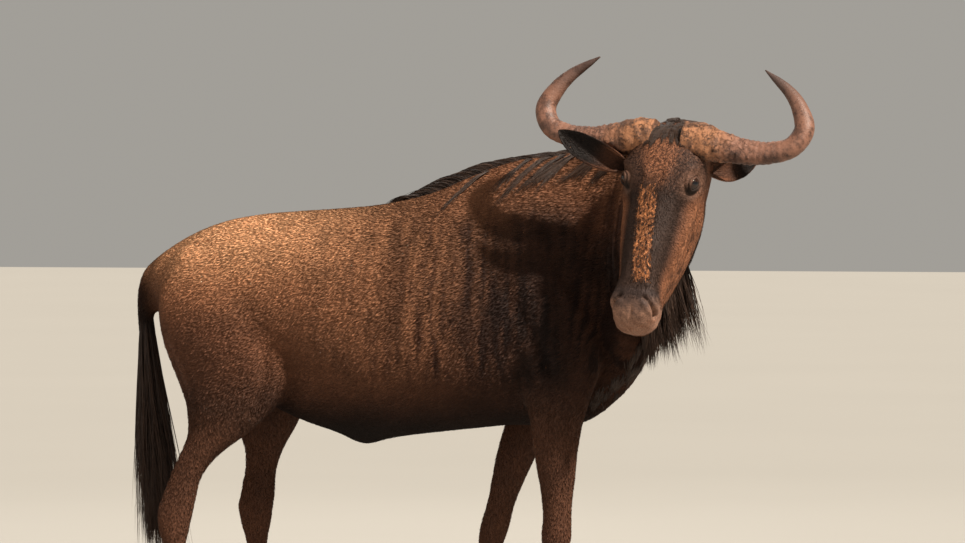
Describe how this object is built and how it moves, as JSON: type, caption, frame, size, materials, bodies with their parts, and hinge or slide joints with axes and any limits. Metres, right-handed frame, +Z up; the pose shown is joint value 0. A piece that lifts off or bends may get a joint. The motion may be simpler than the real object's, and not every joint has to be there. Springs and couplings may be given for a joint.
{
  "type": "wildebeest model",
  "caption": "Life-size still model of a standing wildebeest bull with its head turned to its right: upswept horns, raised mane, hanging beard and long tasselled tail.",
  "frame": {"origin": "on the floor, under the middle of the model's box", "axes": "+X forward along the body, +Y to the animal's left, +Z up"},
  "size_m": [1.7558, 0.7546, 1.5781],
  "materials": {
    "coat": "short flat reddish-brown coat, darker below, with dark upright stripes on the ribs, shoulder and neck",
    "hair": "long coarse black-brown hair of the mane, beard, forelock and tail",
    "horn": "reddish-brown horn, rough and paler on the bosses, smoother and darker to the tips",
    "hoof": "black-brown hoof, dull with fine growth rings",
    "eye": "dark brown wet eye"
  },
  "bodies": {
    "root": {"ear_left": "coat", "ear_right": "coat", "eye_left": "eye", "eye_right": "eye", "head": "coat", "hoof_front_left": "hoof", "hoof_front_right": "hoof", "hoof_hind_left": "hoof", "hoof_hind_right": "hoof", "horn_left": "horn", "horn_right": "horn", "leg_front_left": "coat", "leg_front_right": "coat", "leg_hind_left": "coat", "leg_hind_right": "coat", "neck": "coat", "tail": "hair", "torso": "coat"}
  },
  "joints": []
}
